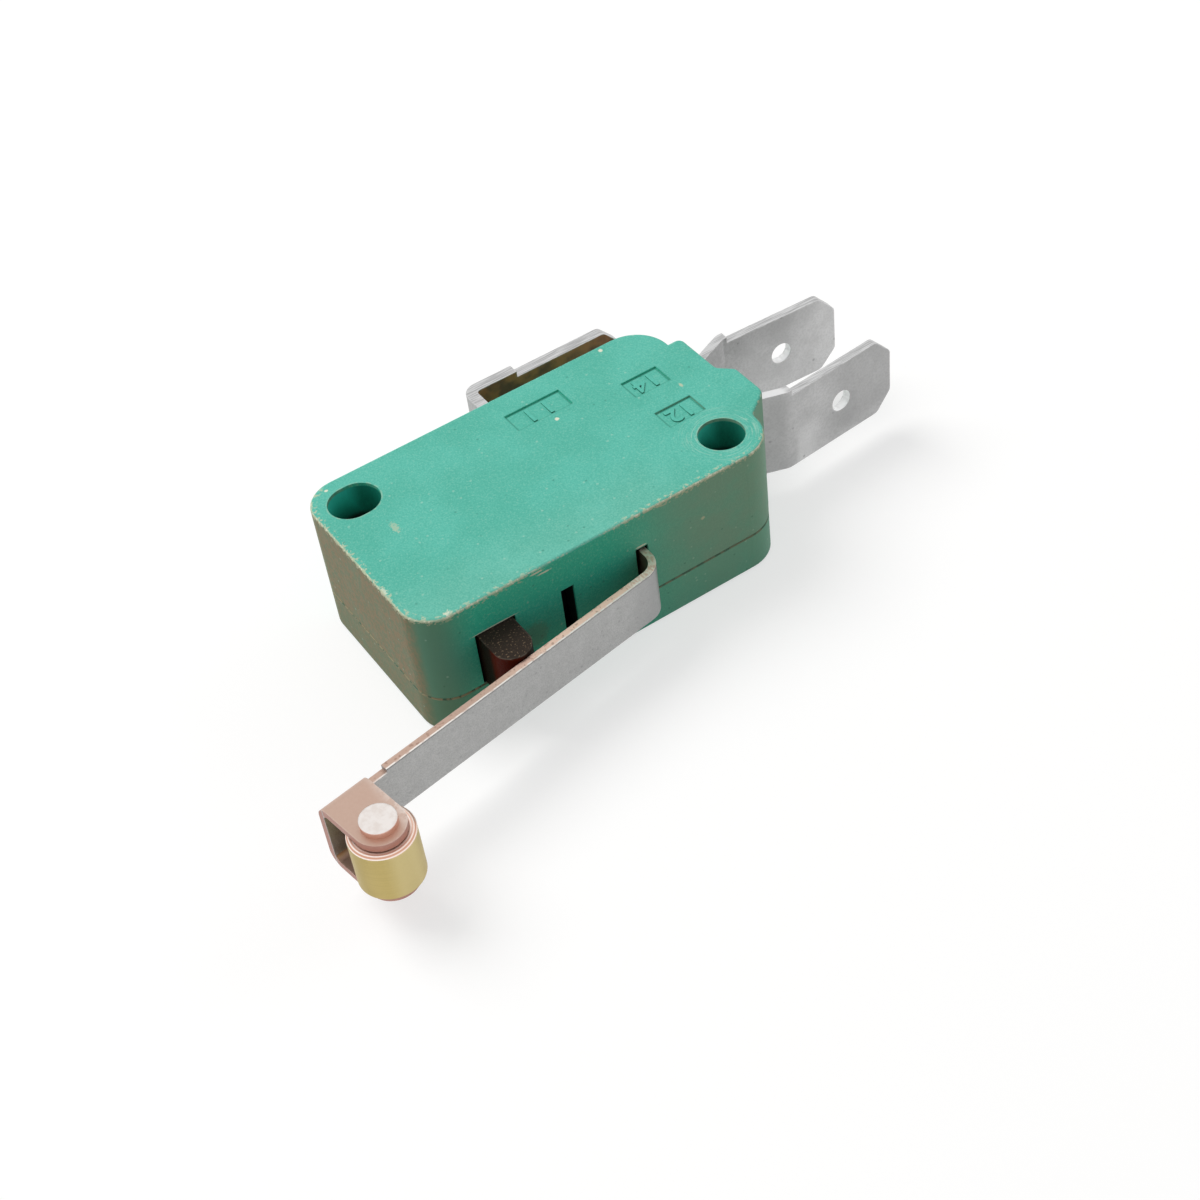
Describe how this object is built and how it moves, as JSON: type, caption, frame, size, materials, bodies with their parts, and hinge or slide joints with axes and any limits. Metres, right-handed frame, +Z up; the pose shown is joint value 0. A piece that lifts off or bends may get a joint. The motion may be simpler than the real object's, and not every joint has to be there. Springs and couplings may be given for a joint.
{
  "type": "lever micro switch",
  "caption": "Snap-action micro switch in a flat two-part housing, with a hinged roller lever and push-on tab terminals.",
  "frame": {"origin": "on the axis of the round mounting hole, in the outer face of the cover", "axes": "+X along the housing from the lever's end to the two contact tabs, +Y from the plunger side to the back with the common tab, +Z up out of the case face, along both mounting holes"},
  "size_m": [0.0524, 0.0313, 0.0103],
  "materials": {
    "case": "matt moulded plastic, teal green, worn pale along its edges",
    "cover": "matt moulded plastic, teal green, worn pale along its edges",
    "plunger": "dark brown moulded plastic with a slight sheen",
    "lever": "matt stainless sheet with bright cut edges",
    "roller": "turned, dull, with a polished rim",
    "roller_pin": "bright riveted heads",
    "terminals": "brass sheet with matt grey plating and bright cut edges",
    "contacts": "silver alloy, satin",
    "blade": "copper alloy spring sheet",
    "toggle": "stamped steel sheet",
    "spring": "steel spring wire"
  },
  "bodies": {
    "housing": {"case": "case", "cover": "cover", "com_terminal": "terminals", "no_terminal": "terminals", "nc_terminal": "terminals", "no_contact": "contacts", "nc_contact": "contacts"},
    "lever": {"lever": "lever", "roller_pin": "roller_pin"},
    "roller": {"roller": "roller"},
    "plunger": {"plunger": "plunger"},
    "toggle": {"toggle_arm": "toggle"},
    "blade": {"moving_blade": "blade", "moving_contact": "contacts"},
    "spring": {"tension_spring": "spring"}
  },
  "joints": [
    {"name": "lever_pivot", "type": "hinge", "parent": "housing", "child": "lever", "pos_m": [-0.00858, -0.00113, 0.00515], "axis": [0, 0, -1], "range_deg": [0, 7.5], "stiffness_Nm_per_rad": 0.13, "springref_deg": -3.21},
    {"name": "roller_spin", "type": "hinge", "parent": "lever", "child": "roller", "pos_m": [-0.03362, -0.01221, 0.00515], "axis": [0, 0, 1], "continuous": true},
    {"name": "plunger_slide", "type": "slide", "parent": "housing", "child": "plunger", "axis": [0, 1, 0], "range_m": [0, 0.00152]},
    {"name": "toggle_swing", "type": "hinge", "parent": "housing", "child": "toggle", "pos_m": [-0.01025, 0.00595, 0.00515], "axis": [0, 0, -1], "range_deg": [0, 8.82]},
    {"name": "blade_swing", "type": "hinge", "parent": "housing", "child": "blade", "pos_m": [-0.0094, 0.00535, 0.00515], "axis": [0, 0, 1], "range_deg": [0, 5.51]},
    {"name": "spring_swing", "type": "hinge", "parent": "blade", "child": "spring", "pos_m": [-0.00369, 0.00535, 0.00515], "axis": [0, 0, -1], "range_deg": [0, 8.21]}
  ],
  "couplings": [
    {"joint": "plunger_slide", "follows": "lever_pivot", "m_per_rad": 0.011536},
    {"joint": "toggle_swing", "follows": "lever_pivot", "ratio": 1.1733},
    {"joint": "blade_swing", "follows": "lever_pivot", "ratio": 0.7333},
    {"joint": "spring_swing", "follows": "lever_pivot", "ratio": 1.0933}
  ]
}
